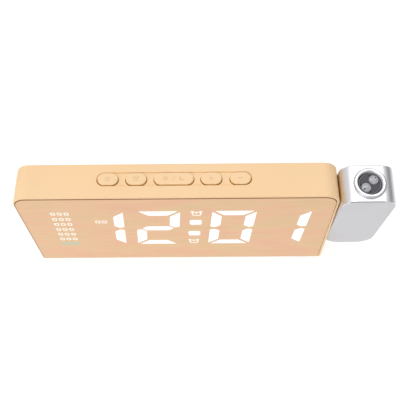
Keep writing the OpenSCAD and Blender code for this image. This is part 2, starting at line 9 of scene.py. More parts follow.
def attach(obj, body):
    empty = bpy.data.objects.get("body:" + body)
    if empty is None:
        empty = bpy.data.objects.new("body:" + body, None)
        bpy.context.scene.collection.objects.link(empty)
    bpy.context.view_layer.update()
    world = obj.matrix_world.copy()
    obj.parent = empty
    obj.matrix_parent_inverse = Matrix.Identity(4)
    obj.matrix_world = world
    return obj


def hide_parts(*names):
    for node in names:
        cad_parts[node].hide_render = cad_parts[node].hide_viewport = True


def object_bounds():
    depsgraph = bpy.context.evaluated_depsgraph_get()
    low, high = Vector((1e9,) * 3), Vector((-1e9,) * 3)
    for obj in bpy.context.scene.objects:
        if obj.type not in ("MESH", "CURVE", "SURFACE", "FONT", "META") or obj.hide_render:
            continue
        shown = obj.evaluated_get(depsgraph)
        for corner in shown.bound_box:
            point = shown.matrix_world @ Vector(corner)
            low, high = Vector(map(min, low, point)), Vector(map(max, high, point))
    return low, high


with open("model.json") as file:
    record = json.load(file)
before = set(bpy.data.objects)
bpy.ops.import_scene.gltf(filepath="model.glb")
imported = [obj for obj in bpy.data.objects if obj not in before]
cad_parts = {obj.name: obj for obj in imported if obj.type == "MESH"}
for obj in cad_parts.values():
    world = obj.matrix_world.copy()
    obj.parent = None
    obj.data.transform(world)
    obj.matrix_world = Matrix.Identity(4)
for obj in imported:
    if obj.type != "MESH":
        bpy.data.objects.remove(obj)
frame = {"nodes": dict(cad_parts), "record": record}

CAD_LO, CAD_HI = [v.copy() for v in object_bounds()]
scene = bpy.context.scene
NODES = frame["nodes"]

# ------------------------------------------------------------------ places
# Lengths below are millimetres in the case's own frame: X from the case's middle, Y to the
# back, Z from the case's underside. P and H turn them into metres in the shared frame.
SX, SZ, PIV = 15.35, 1.0, 50.8
TILT = math.radians(7.0)
CASE_W, CASE_H, CASE_D = 185.0, 85.0, 22.0
HEAD_X0, HEAD_W, HEAD_H = 92.8, 30.4, 74.0
HEAD_X = HEAD_X0 + HEAD_W / 2
LENS_X = HEAD_X
HEAD_POSTS = [(HEAD_X0 + 3.6, 20), (HEAD_X0 + HEAD_W - 3.6, 20), (HEAD_X0 + 3.6, -25), (HEAD_X0 + HEAD_W - 3.6, -25)]
KEY_Y = 0.95
KEY_X = [-38.25, -22.2, -0.9, 20.2, 36.6]
KEY_W = [11.9, 11.9, 22.5, 11.9, 11.9]
KEY_D = 7.9
LENS_DX, LENS_DY = 2.25, 2.3
CELL_X, CELL_Z, DOOR_W = -45.0, 32.0, 27.0


def P(x, y, z):
    return ((x - SX) * 1e-3, y * 1e-3, (z + SZ) * 1e-3)


def H(x, y, z):
    c, s = math.cos(TILT), math.sin(TILT)
    return P(x, y * c - z * s, PIV + y * s + z * c)


def lin(r, g, b):
    def f(v):
        v /= 255.0
        return v / 12.92 if v <= 0.04045 else ((v + 0.055) / 1.055) ** 2.4

    return (f(r), f(g), f(b), 1.0)


# ------------------------------------------------------------------ outlines
def arc(cx, cy, r, a0, a1, n):
    return [(cx + r * math.cos(math.radians(a0 + (a1 - a0) * i / n)),
             cy + r * math.sin(math.radians(a0 + (a1 - a0) * i / n))) for i in range(n + 1)]


def arch(w, h, rt, rb, n=14):
    """Rectangle standing on v = 0, counter-clockwise, with the same number of points at any size."""
    return (arc(w / 2 - rb, rb, rb, -90, 0, n) + arc(w / 2 - rt, h - rt, rt, 0, 90, n)
            + arc(-w / 2 + rt, h - rt, rt, 90, 180, n) + arc(-w / 2 + rb, rb, rb, 180, 270, n))


def case_outline(i):
    return [(x, z + i) for x, z in arch(CASE_W - 2 * i, CASE_H - 2 * i, max(8.5 - i, 0.4), max(1.5 - i, 0.35))]


def head_outline(i):
    return [(x + HEAD_X, z + i - HEAD_H / 2) for x, z in arch(HEAD_W - 2 * i, HEAD_H - 2 * i, 8 - i, 10.5 - i, 20)]


def pill(w, d, n=20):
    r = d / 2
    return arc(w / 2 - r, 0, r, -90, 90, n) + arc(-w / 2 + r, 0, r, 90, 270, n)


def slot_outline(w, d, grow, n=20):
    """Pill drawn outwards by grow at its near side, and by less and less towards its far side."""
    r, out = d / 2, []
    share = [(-1.0, 1.0), (-0.4, 0.9), (0.0, 0.5), (0.3, 0.17), (1.0, 0.17)]
    for cx, a0 in ((w / 2 - r, -90), (-w / 2 + r, 90)):
        for i in range(n + 1):
            a = math.radians(a0 + 180 * i / n)
            s = math.sin(a)
            for (p, f), (q, g) in zip(share, share[1:]):
                if s <= q + 1e-9:
                    k = r + grow * (f + (g - f) * (s - p) / (q - p))
                    break
            out.append((cx + k * math.cos(a), k * s))
    return out


# ------------------------------------------------------------------ meshes
class Maker:
    """Collects points and faces of one piece."""

    def __init__(self):
        self.v, self.f, self.m = [], [], []

    def ring(self, pts):
        k = len(self.v)
        self.v += pts
        return list(range(k, k + len(pts)))

    def band(self, a, b, mat=0):
        n = len(a)
        for i in range(n):
            j = (i + 1) % n
            self.f.append((a[i], a[j], b[j], b[i]))
            self.m.append(mat)

    def cap(self, a, mat=0):
        self.f.append(tuple(a))
        self.m.append(mat)

    def loft(self, rings, mats=None, around=False, caps=(True, True), cap_mats=(0, 0)):
        """rings: lists of points. around joins the last ring to the first one."""
        ids = [self.ring(r) for r in rings]
        n = len(ids)
        for k in range(n if around else n - 1):
            self.band(ids[k], ids[(k + 1) % n], mats[k] if mats else 0)
        if not around:
            if caps[0]:
                self.cap(list(reversed(ids[0])), cap_mats[0])
            if caps[1]:
                self.cap(ids[-1], cap_mats[1])

    def obj(self, name, mats=(), smooth=32, weighted=True):
        me = bpy.data.meshes.new(name)
        me.from_pydata(self.v, [], self.f)
        for m in mats:
            me.materials.append(m)
        for p, i in zip(me.polygons, self.m):
            p.material_index = i
        bm = bmesh.new()
        bm.from_mesh(me)
        bmesh.ops.remove_doubles(bm, verts=bm.verts, dist=1e-7)
        bmesh.ops.recalc_face_normals(bm, faces=bm.faces)
        bm.to_mesh(me)
        bm.free()
        o = bpy.data.objects.new(name, me)
        scene.collection.objects.link(o)
        shade(o, smooth, weighted)
        return o


def shade(o, smooth=32, weighted=True):
    o.data.shade_smooth()
    o.data.set_sharp_from_angle(angle=math.radians(smooth))
    if weighted and not any(m.type == "WEIGHTED_NORMAL" for m in o.modifiers):
        m = o.modifiers.new("normals", "WEIGHTED_NORMAL")
        m.keep_sharp = True
        m.weight = 80


def cut(o, *cutters, own=False):
    """Takes the cutters out of a piece and drops them."""
    keep = [m.type for m in o.modifiers]
    o.modifiers.clear()
    for c in cutters:
        c.modifiers.clear()
        m = o.modifiers.new("cut", "BOOLEAN")
        m.operation, m.object, m.solver = "DIFFERENCE", c, "EXACT"
        m.material_mode = "TRANSFER"
        m.use_self = own
    dg = bpy.context.evaluated_depsgraph_get()
    me = bpy.data.meshes.new_from_object(o.evaluated_get(dg))
    o.modifiers.clear()
    me.name = o.name
    o.data = me
    for c in cutters:
        bpy.data.objects.remove(c)
    shade(o, 32, "WEIGHTED_NORMAL" in keep)
    return o


def fillet(i0, y0, i1, y1, n=5):
    """Quarter round from (i0, y0) to (i1, y1), leaving the first point along y and arriving along i."""
    return [(i0 + (i1 - i0) * (1 - math.cos(math.pi / 2 * k / n)),
             y0 + (y1 - y0) * math.sin(math.pi / 2 * k / n)) for k in range(n + 1)]


def lathe(mk, prof, to, n=72, mats=None, around=False, caps=(False, False), cap_mats=(0, 0)):
    """prof: (radius, height) pairs; to(u, v, h) places a point."""
    rings = [[to(r * math.cos(2 * math.pi * i / n), r * math.sin(2 * math.pi * i / n), h) for i in range(n)]
             for r, h in prof]
    mk.loft(rings, mats, around, caps, cap_mats)


# ------------------------------------------------------------------ materials
class Nodes:
    def __init__(self, name):
        self.mat = bpy.data.materials.new(name)
        self.mat.use_nodes = True
        self.t = self.mat.node_tree
        self.b = self.t.nodes["Principled BSDF"]
        self.tc = self.t.nodes.new("ShaderNodeTexCoord")

    def new(self, kind, **kw):
        n = self.t.nodes.new(kind)
        for k, v in kw.items():
            setattr(n, k, v)
        return n

    def link(self, a, b):
        self.t.links.new(a, b)

    def coords(self, sx=1.0, sy=1.0, sz=1.0, loc=(0, 0, 0)):
        """Object coordinates in millimetres, stretched."""
        m = self.new("ShaderNodeMapping")
        m.inputs["Scale"].default_value = (1000 * sx, 1000 * sy, 1000 * sz)
        m.inputs["Location"].default_value = loc
        self.link(self.tc.outputs["Object"], m.inputs["Vector"])
        return m.outputs["Vector"]

    def noise(self, vec, scale, detail=2.0, rough=0.5, w=0.0):
        n = self.new("ShaderNodeTexNoise")
        n.noise_dimensions = "4D"
        n.inputs["Scale"].default_value = scale
        n.inputs["Detail"].default_value = detail
        n.inputs["Roughness"].default_value = rough
        n.inputs["W"].default_value = w
        self.link(vec, n.inputs["Vector"])
        return n.outputs["Fac"]

    def ramp(self, fac, stops, mode="LINEAR"):
        r = self.new("ShaderNodeValToRGB")
        r.color_ramp.interpolation = mode
        e = r.color_ramp.elements
        while len(e) > 1:
            e.remove(e[-1])
        e[0].position, e[0].color = stops[0]
        for p, c in stops[1:]:
            x = e.new(p)
            x.color = c
        self.link(fac, r.inputs["Fac"])
        return r.outputs["Color"]

    def mix(self, fac, a, b, mode="MIX"):
        m = self.new("ShaderNodeMix", data_type="RGBA", blend_type=mode)
        for src, k in ((fac, 0), (a, 6), (b, 7)):
            if hasattr(src, "is_linked"):
                self.link(src, m.inputs[k])
            else:
                m.inputs[k].default_value = src
        return m.outputs[2]

    def math(self, op, a, b=0.0):
        m = self.new("ShaderNodeMath", operation=op)
        for src, k in ((a, 0), (b, 1)):
            if hasattr(src, "is_linked"):
                self.link(src, m.inputs[k])
            else:
                m.inputs[k].default_value = src
        return m.outputs[0]

    def bump(self, height, strength, dist_mm):
        b = self.new("ShaderNodeBump")
        b.inputs["Strength"].default_value = strength
        b.inputs["Distance"].default_value = dist_mm * 1e-3
        self.link(height, b.inputs["Height"])
        self.link(b.outputs["Normal"], self.b.inputs["Normal"])

    def set(self, **kw):
        for k, v in kw.items():
            self.b.inputs[k.replace("_", " ")].default_value = v


def grey(v):
    return (v, v, v, 1.0)


def scaled(c, k):
    return (min(1, c[0] * k), min(1, c[1] * k), min(1, c[2] * k), 1.0)


def moulded(name, col, rough=0.45, vary=0.04, grain=0.25, grain_mm=0.35, spec=0.45, coat=0.0, seed=0.0, warm=0.0):
    """Moulded plastic: slow colour drift, fine texture and uneven gloss."""
    n = Nodes(name)
    slow = n.noise(n.coords(), 0.035, 3, 0.55, seed)
    c = n.ramp(slow, [(0.3, scaled(col, 1 - vary)), (0.7, scaled(col, 1 + vary))])
    if warm:
        wash = n.noise(n.coords(), 0.012, 1, 0.5, seed + 3)
        c = n.mix(n.ramp(wash, [(0.35, grey(0)), (0.65, grey(warm))]), c, scaled((col[0], col[1] * 0.93, col[2] * 0.84, 1), 1), "MIX")
    n.link(c, n.b.inputs["Base Color"])
    fine = n.noise(n.coords(), 1 / grain_mm, 3, 0.6, seed + 1)
    n.link(n.math("ADD", n.math("MULTIPLY", fine, 0.16), rough - 0.08), n.b.inputs["Roughness"])
    n.bump(fine, grain, 0.02)
    n.set(Specular_IOR_Level=spec, Coat_Weight=coat)
    return n.mat


def metal(name, col, rough=0.3, brush=(1, 1, 1), vary=0.05, grain=0.1, scale=2.0):
    n = Nodes(name)
    f = n.noise(n.coords(*brush), scale, 4, 0.6)
    n.link(n.ramp(f, [(0.3, scaled(col, 1 - vary)), (0.7, scaled(col, 1 + vary))]), n.b.inputs["Base Color"])
    n.link(n.math("ADD", n.math("MULTIPLY", f, 0.14), rough - 0.07), n.b.inputs["Roughness"])
    n.bump(f, grain, 0.01)
    n.set(Metallic=1.0)
    return n.mat


def wood_film():
    """Printed pale wood: slow pink and ochre bands, streaks along X, a few pores. The cut edge is painted dark brown, a
    painted shade for the seam round the film.
    """
    n = Nodes("wood_film")
    warp = n.noise(n.coords(0.03, 0.0, 0.05), 1.0, 2, 0.5, 5.0)
    base = n.coords(0.030, 0.0, 0.075)
    v = n.new("ShaderNodeVectorMath", operation="ADD")
    n.link(base, v.inputs[0])
    comb = n.new("ShaderNodeCombineXYZ")
    n.link(n.math("MULTIPLY", warp, 1.4), comb.inputs["Z"])
    n.link(comb.outputs[0], v.inputs[1])
    bands = n.noise(v.outputs[0], 1.0, 2, 0.55, 0.0)
    c = n.ramp(bands, [(0.30, lin(234, 183, 149)), (0.46, lin(235, 189, 150)), (0.58, lin(231, 193, 148)),
                       (0.72, lin(226, 193, 145))])
    streak = n.noise(n.coords(0.035, 0.0, 1.7), 1.0, 5, 0.62, 1.5)
    c = n.mix(n.ramp(streak, [(0.42, grey(0.0)), (0.66, grey(0.30))]), c, lin(208, 162, 129), "MIX")
    light = n.noise(n.coords(0.045, 0.0, 2.6), 1.0, 3, 0.6, 8.5)
    c = n.mix(n.ramp(light, [(0.52, grey(0.0)), (0.70, grey(0.28))]), c, lin(236, 203, 169), "MIX")
    pores = n.noise(n.coords(0.16, 0.0, 5.0), 1.0, 2, 0.6, 11.0)
    c = n.mix(n.ramp(pores, [(0.66, grey(0.0)), (0.76, grey(0.26))]), c, lin(188, 137, 103), "MIX")
    geo = n.new("ShaderNodeNewGeometry")
    sep = n.new("ShaderNodeSeparateXYZ")
    n.link(geo.outputs["True Normal"], sep.inputs[0])
    # painted shade: faces that look sideways take the dark brown of the cut edge
    side = n.math("LESS_THAN", n.math("ABSOLUTE", sep.outputs["Y"]), 0.5)
    c = n.mix(side, c, lin(162, 116, 82), "MIX")
    n.link(c, n.b.inputs["Base Color"])
    n.link(n.math("ADD", n.math("MULTIPLY", streak, 0.2), 0.38), n.b.inputs["Roughness"])
    n.bump(n.math("ADD", streak, n.math("MULTIPLY", pores, 0.5)), 0.12, 0.03)
    n.set(Specular_IOR_Level=0.35)
    return n.mat


def lit(name, col, strength, edge, own):
    """Light-diffusing window, lit from behind and a little uneven; own is how light it is by itself."""
    n = Nodes(name)
    f = n.noise(n.coords(), 0.18, 2, 0.5)
    c = n.ramp(f, [(0.25, scaled(col, 1 - edge)), (0.75, scaled(col, 1.0))])
    n.link(n.mix(1.0, c, grey(own), "MULTIPLY"), n.b.inputs["Base Color"])
    n.link(c, n.b.inputs["Emission Color"])
    n.set(Emission_Strength=strength, Roughness=0.5, Specular_IOR_Level=0.2)
    return n.mat


def board():
    n = Nodes("circuit_board")
    f = n.noise(n.coords(1, 1, 1), 0.6, 2, 0.5)
    vor = n.new("ShaderNodeTexVoronoi", feature="DISTANCE_TO_EDGE")
    vor.inputs["Scale"].default_value = 0.35
    n.link(n.coords(1, 1, 1), vor.inputs["Vector"])
    track = n.ramp(vor.outputs["Distance"], [(0.03, grey(1)), (0.06, grey(0))])
    c = n.mix(track, n.ramp(f, [(0.3, (0.012, 0.10, 0.035, 1)), (0.7, (0.02, 0.14, 0.05, 1))]), (0.04, 0.24, 0.09, 1))
    n.link(c, n.b.inputs["Base Color"])
    n.bump(track, 0.2, 0.03)
    n.set(Roughness=0.35, Coat_Weight=0.4)
    return n.mat


def lens(name):
    """Small moulded dome in glossy pale grey with a clear coat."""
    n = Nodes(name)
    f = n.noise(n.coords(), 0.9, 3, 0.6, 2.0)
    c = n.ramp(f, [(0.35, lin(150, 150, 156)), (0.65, lin(180, 180, 186))])
    n.link(c, n.b.inputs["Base Color"])
    n.link(n.math("ADD", n.math("MULTIPLY", f, 0.2), 0.02), n.b.inputs["Roughness"])
    n.set(Specular_IOR_Level=0.6, Coat_Weight=0.5, Coat_Roughness=0.05)
    return n.mat


CASE = moulded("case_plastic", lin(245, 209, 164), 0.45, 0.018, 0.10, 0.30, spec=0.35, seed=0.0, warm=0.30)
KEYS = moulded("key_plastic", lin(245, 209, 164), 0.42, 0.015, 0.10, 0.30, spec=0.35, seed=2.0)
# painted bounce light: saturated yellow on a band of the keys' fillet
KEY_EDGE_BOUNCE = moulded("key_edge_painted_bounce", lin(240, 204, 142), 0.45, 0.02, 0.10, 0.30, spec=0.35, seed=3.0)
# painted shade: the sunk symbols are a shade darker than the key, for the shade in their recess
LEGEND_SHADE = moulded("key_legend_painted_shade", lin(233, 189, 142), 0.55, 0.03, 0.10, 0.30, seed=4.0)
# painted shade for the rim's face on the left and along the bottom
RIM_SHADE = moulded("case_rim_painted_shade", lin(212, 182, 156), 0.5, 0.03, 0.10, 0.30, spec=0.3, seed=1.0)
# painted shade: a more saturated golden tan for the case's wall facing the head, which the silver head mirrors
SIDE_SHADE = moulded("case_side_painted_shade", lin(252, 204, 128), 0.5, 0.03, 0.10, 0.30, spec=0.3, seed=1.5)
# painted shade: dark golden brown for the walls in the key gaps
GAP_SHADE = moulded("key_gap_painted_shade", lin(226, 168, 62), 0.6, 0.05, 0.10, 0.30, seed=5.0)
# painted shade: light brown for the foot of the recess wall and the start of the keys' fillet
WALL_SHADE = moulded("key_side_wall_painted_shade", lin(228, 182, 112), 0.55, 0.04, 0.10, 0.30, seed=6.0)
FILM = wood_film()
PANEL = moulded("smoked_panel", lin(158, 112, 80), 0.25, 0.10, 0.05, 0.4, coat=0.3)
WHITE_LIT = lit("lit_white", (1, 1, 1, 1), 0.85, 0.02, 0.25)
WARM_LIT = lit("lit_warm", lin(255, 250, 238), 0.80, 0.08, 0.25)
GREEN_LIT = lit("lit_green", lin(146, 216, 195), 0.55, 0.10, 0.5)
WHITE = moulded("white_plastic", lin(232, 232, 228), 0.5, 0.03)
BLACK = moulded("black_plastic", lin(34, 34, 36), 0.45, 0.15, 0.3)
BOARD = board()
LED = moulded("led_chip", lin(246, 228, 150), 0.35, 0.06)
STEEL = metal("screw_steel", lin(188, 188, 192), 0.32, (1, 1, 1), 0.08)
CONTACT = metal("contact_metal", lin(206, 200, 184), 0.28, (1, 1, 6), 0.06)
RIBBON = moulded("flat_cable", lin(214, 214, 210), 0.5, 0.05)
RED = moulded("red_insulation", lin(190, 40, 34), 0.4, 0.08)
CABLE = moulded("black_insulation", lin(32, 32, 34), 0.45, 0.10)
RUBBER = moulded("foot_rubber", lin(62, 58, 54), 0.8, 0.12, 0.5, 0.5, spec=0.2)
SILVER = metal("silver_sleeve", lin(230, 230, 233), 0.35, (0.25, 0.05, 1), 0.012, 0.02, 1.2)
RING = metal("silver_ring", lin(242, 242, 245), 0.26, (1, 1, 1), 0.02, 0.04, 1.5)
# painted shade: a darker silver for the ring's flank and outer edge
RING_FLANK_SHADE = metal("silver_ring_side_painted_shade", lin(212, 212, 216), 0.36, (1, 1, 1), 0.03, 0.04, 1.5)
# painted reflection: a light diffuse grey on the round of the ring's inner edge
BORE_LIGHT = moulded("ring_bore_painted_reflection", lin(236, 236, 239), 0.35, 0.02, 0.05, 0.4, spec=0.5, seed=12.0)
# painted shade: a dark grey line on the covers' edge along the straight top
SEAM_SHADE = moulded("cover_seam_painted_shade", lin(124, 124, 128), 0.5, 0.06, 0.10, 0.3, seed=13.0)
COVER = moulded("pale_cover", lin(203, 202, 205), 0.42, 0.012, 0.12, 0.22, spec=0.35, seed=7.0)
DARK = moulded("lens_dark", lin(72, 72, 77), 0.42, 0.12, 0.15, 0.5, spec=0.35, seed=9.0)
# dark grey of the lens carrier's groove, also used on the focus ring's bore as a painted shade
DARK_GREY_AND_SHADE = moulded("lens_groove_and_bore_shade", lin(92, 90, 96), 0.5, 0.15, 0.15, 0.5, spec=0.3, seed=10.0)
# painted highlight: the carrier's raised lip is a lighter grey than its face
LIP_HIGHLIGHT = moulded("lens_lip_painted_highlight", lin(122, 122, 127), 0.32, 0.08, 0.10, 0.4, spec=0.6, seed=11.0)
LENS = lens("lens_dome")
CLEAR = moulded("lens_inner", lin(196, 204, 210), 0.1, 0.05, 0.0, coat=0.6)
SLIDE = moulded("slide_glass", lin(40, 44, 58), 0.1, 0.2, 0.0, coat=0.8)

SLOT = {
    "case_plastic": CASE, "key_plastic": KEYS, "wood_film": FILM, "smoked_panel": PANEL, "lit_white": WHITE_LIT,
    "lit_warm": WARM_LIT, "lit_green": GREEN_LIT, "white_plastic": WHITE, "circuit_board": BOARD,
    "black_plastic": BLACK, "led_chip": LED, "screw_steel": STEEL, "contact_metal": CONTACT, "flat_cable": RIBBON,
    "red_insulation": RED, "black_insulation": CABLE, "foot_rubber": RUBBER, "silver_sleeve": SILVER,
    "pale_cover": COVER, "lens_black": DARK, "lens_clear": CLEAR, "slide_glass": SLIDE,
}
for row in frame["record"]["subparts"]:
    o = NODES[row["node"]]
    o.data.materials.clear()
    o.data.materials.append(SLOT[row["material_slot"]])


def finish_piece(o, body, nodes):
    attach(o, body)
    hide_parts(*nodes)
    return o


# ------------------------------------------------------------------ case
def tube_y(mk, x, z, r, y0, y1, to=P, n=40, mats=None):
    lathe(mk, [(r, y0), (r, y1)], lambda u, v, h: to(x + u, h, z + v), n, mats, False, (True, True))


def build_case():
    mk = Maker()
    path = fillet(0.0, -10.3, 0.7, -11.0)[::-1]          # round of the front edge, from the front face outwards
    path += [(0.0, 0.0)]
    path += fillet(0.0, 10.4, 0.6, 11.0)
    path += [(1.55, 11.0), (1.7, 10.85), (1.7, -7.6), (3.2, -7.6), (3.2, -8.8), (1.25, -8.8), (1.25, -10.85),
             (1.12, -11.0)]
    last = len(path) - 1
    mk.loft([[P(x - (0.3 if k > last - 3 else 0), y, z) for x, z in case_outline(i)] for k, (i, y) in enumerate(path)],
            around=True)
    # painted shade: the rim's face is painted a greyer, deeper shade on the left and along the bottom, below the top
    # corners
    n = len(case_outline(0))
    for j, f in enumerate(mk.f):
        if j // n in (0, 1, last - 1, last) and mk.v[f[0]][2] < 0.077 and mk.v[f[0]][0] < 0.0745:
            mk.m[j] = 3
        if j % n == 44 and (j // n < 5 or j // n > last - 3):
            mk.m[j] = 3
        # painted shade: the wall that faces the projector head is painted a more saturated golden tan, which the silver
        # head mirrors
        if j // n in (5, 6) and 14 <= j % n <= 18:
            mk.m[j] = 4
    o = mk.obj("case_body", [CASE, WALL_SHADE, GAP_SHADE, RIM_SHADE, SIDE_SHADE], 34)
    # shallow recess along the keys; the foot of its walls is painted light brown, a painted shade line
    c = Maker()
    prof = [(0.30, 84.5), (0.10, 84.55), (0.01, 84.66), (0.0, 84.78), (-0.04, 84.90), (-0.14, 84.98), (-0.4, 85.1), (-0.4, 86)]
    mats = [1, 1, 1, 1, 0, 0, 0]
    c.loft([[P(x - 0.75, y + 1.0, z) for x, y in pill(87.9 - 2 * i, 8.6 - 2 * i, 28)] for i, z in prof], mats)
    cut(o, c.obj("cut_recess", [CASE, WALL_SHADE]))
    # slots of the keys, with a broken edge; their near walls are painted dark golden brown, a painted shade in the gaps
    c = Maker()
    for kx, kw in zip(KEY_X, KEY_W):
        prof = [(0.46, 82.5), (0.46, 84.38), (0.50, 84.47), (0.60, 84.56), (0.60, 84.7)]
        c.loft([[P(x + kx, y + KEY_Y + 0.1, z) for x, y in slot_outline(kw, KEY_D, i)] for i, z in prof])
    for j, f in enumerate(c.f):
        # the painted shade stays on the near walls; the far walls keep the colour of the case
        c.m[j] = 1 if c.v[f[0]][1] > (KEY_Y + 0.8) * 1e-3 else 0
    cut(o, c.obj("cut_slots", [GAP_SHADE, CASE]))
    c = Maker()
    lathe(c, [(6.02, 90.0), (6.02, 92.3), (6.25, 92.6), (6.25, 93.5)], lambda u, v, h: P(h, u, PIV + v), 64, caps=(True, True))
    for fx in (-80.5, 80.5):
        for fy in (-6.7, 6.7):
            lathe(c, [(3.3, 0.6), (3.3, -0.05), (3.5, -0.3), (3.5, -0.6)], lambda u, v, h: P(fx + u, fy + v, h), 40, caps=(True, True))
    cut(o, c.obj("cut_round", [CASE]))
    return finish_piece(o, "clock", ["case_shell"])


def build_bosses():
    """Screw bosses, hangers and pillars inside the case."""
    mk = Maker()
    for x, z in ((86.9, 79.4), (-86.9, 79.4), (88.0, 4.4), (-88.0, 4.4)):
        lathe(mk, [(1.25, 9.15), (2.8, 9.15), (3.0, 8.9), (3.0, 0.0), (1.25, 0.0)], lambda u, v, h: P(x + u, h, z + v), 36, around=True)
    for x, y, z0, z1 in ((-52, 2.4, 74.95, 83.5), (50, 2.4, 74.95, 83.5), (52, 4, 1.5, 8.75), (68, 4, 1.5, 8.75)):
        lathe(mk, [(0.9, z0), (2.2, z0), (2.2, z1), (0.9, z1)], lambda u, v, h: P(x + u, y + v, h), 32, around=True)
    o = mk.obj("case_bosses", [CASE], 40)
    return finish_piece(o, "clock", ["case_shell"])


# ------------------------------------------------------------------ keys
def prism(mk, pts, z0, z1):
    mk.loft([[P(x, y, z0) for x, y in pts], [P(x, y, z1) for x, y in pts]])


def tube_z(mk, cx, cy, r0, r1, z0, z1, n=40):
    lathe(mk, [(r0, z0), (r1, z0), (r1, z1), (r0, z1)], lambda u, v, h: P(cx + u, cy + v, h), n, around=True)


def rect(cx, cy, w, h, a=0.0):
    c, s = math.cos(math.radians(a)), math.sin(math.radians(a))
    return [(cx + x * c - y * s, cy + x * s + y * c) for x, y in ((-w / 2, -h / 2), (w / 2, -h / 2), (w / 2, h / 2), (-w / 2, h / 2))]


def legend(i, cx, cy, z0, z1):
    """Cutters for the plain symbols sunk in the keys: one closed shape each, so that none crosses itself."""
    out = []

    def bar(*r):
        mk = Maker()
        prism(mk, rect(*r), z0, z1)
        out.append(mk)

    def ring(x, y, r0, r1):
        mk = Maker()
        tube_z(mk, x, y, r0, r1, z0, z1)
        out.append(mk)

    if i == 0:
        ring(cx, cy, 1.12, 1.5)
        bar(cx, cy + 0.38, 0.32, 0.9)
        bar(cx + 0.42, cy - 0.20, 0.6, 0.3)
    elif i == 1:
        ring(cx, cy - 0.1, 0.95, 1.32)
        for s in (-1, 1):
            bar(cx + s * 1.2, cy + 1.25, 0.36, 0.95, s * 45)
        bar(cx, cy + 0.12, 0.30, 0.65)
    elif i == 2:
        x = cx - 4.7
        ring(x, cy, 0.55, 0.92)
        for k in range(8):
            a = math.radians(45 * k)
            bar(x + 1.45 * math.cos(a), cy + 1.45 * math.sin(a), 0.5, 0.3, 45 * k)
        bar(cx, cy, 0.34, 3.1, -18)
        x = cx + 4.5
        mk = Maker()
        prism(mk, arc(x, cy, 1.5, 91.7, 346.1, 26)[:-1] + arc(x + 0.62, cy + 0.5, 1.2, 314.2, 123.6, 18)[:-1], z0, z1)
        out.append(mk)
    elif i == 3:
        mk = Maker()
        a, b = 0.21, 1.35
        prism(mk, [(cx + u, cy + v) for u, v in ((a, a), (a, b), (-a, b), (-a, a), (-b, a), (-b, -a), (-a, -a), (-a, -b),
                                                 (a, -b), (a, -a), (b, -a), (b, a))], z0, z1)
        out.append(mk)
    else:
        bar(cx, cy, 2.7, 0.42)
    return [m.obj("cut_legend_%d" % k, [LEGEND_SHADE]) for k, m in enumerate(out)]


def build_keys():
    names = ["mode", "alarm", "snooze", "plus", "minus"]
    for i, nm in enumerate(names):
        mk = Maker()
        prof = [(-0.8, 82.1), (-0.8, 82.9), (-0.7, 83.0), (0.0, 83.0), (0.0, 84.62), (0.0, 84.74)]
        prof += [(0.70 * (1 - math.cos(math.radians(t))), 84.75 + 0.70 * math.sin(math.radians(t))) for t in (12, 24, 36, 48, 60, 75, 90)]
        # painted shade and light on the key's wall: dark golden brown at its foot, light brown on the start of the
        # fillet, then a saturated yellow band as painted bounce light
        mats = [0, 0, 0, 2, 2, 3, 3, 3, 4] + [0] * (len(prof) - 9)
        mk.loft([[P(x + KEY_X[i], y + KEY_Y + 0.1, z) for x, y in pill(KEY_W[i] - 2 * k, KEY_D - 2 * k, 24)] for k, z in prof], mats)
        for j, (a, b, c, d) in enumerate(mk.f[:-2]):
            # the painted shade and bounce light stay on the near half of the wall; its far half keeps the colour of the
            # case
            if mk.v[a][1] > (KEY_Y + 1.0) * 1e-3:
                mk.m[j] = 0
        o = mk.obj(nm + "_key_cap", [KEYS, LEGEND_SHADE, GAP_SHADE, WALL_SHADE, KEY_EDGE_BOUNCE], 40)
        cut(o, *legend(i, KEY_X[i], KEY_Y, 85.36, 86.0))
        # stem that pushes the switch
        st = Maker()
        lathe(st, [(1.6, 79.1), (1.6, 82.2)], lambda u, v, h: P(KEY_X[i] + u, KEY_Y + v, h), 32, caps=(True, True))
        s = st.obj(nm + "_key_stem", [KEYS], 40)
        for piece in (o, s):
            finish_piece(piece, nm + "_button", [nm + "_key"])


# ------------------------------------------------------------------ feet
def build_feet():
    mk = Maker()
    for fx in (-80.5, 80.5):
        for fy in (-6.7, 6.7):
            prof = [(3.25, 0.55), (3.25, -0.75), (3.12, -0.93), (2.9, -1.0), (2.2, -1.0), (2.0, -0.85)]
            lathe(mk, prof, lambda u, v, h: P(fx + u, fy + v, h), 40, caps=(True, True))
    o = mk.obj("feet_pads", [RUBBER], 40)
    return finish_piece(o, "clock", ["rubber_feet"])


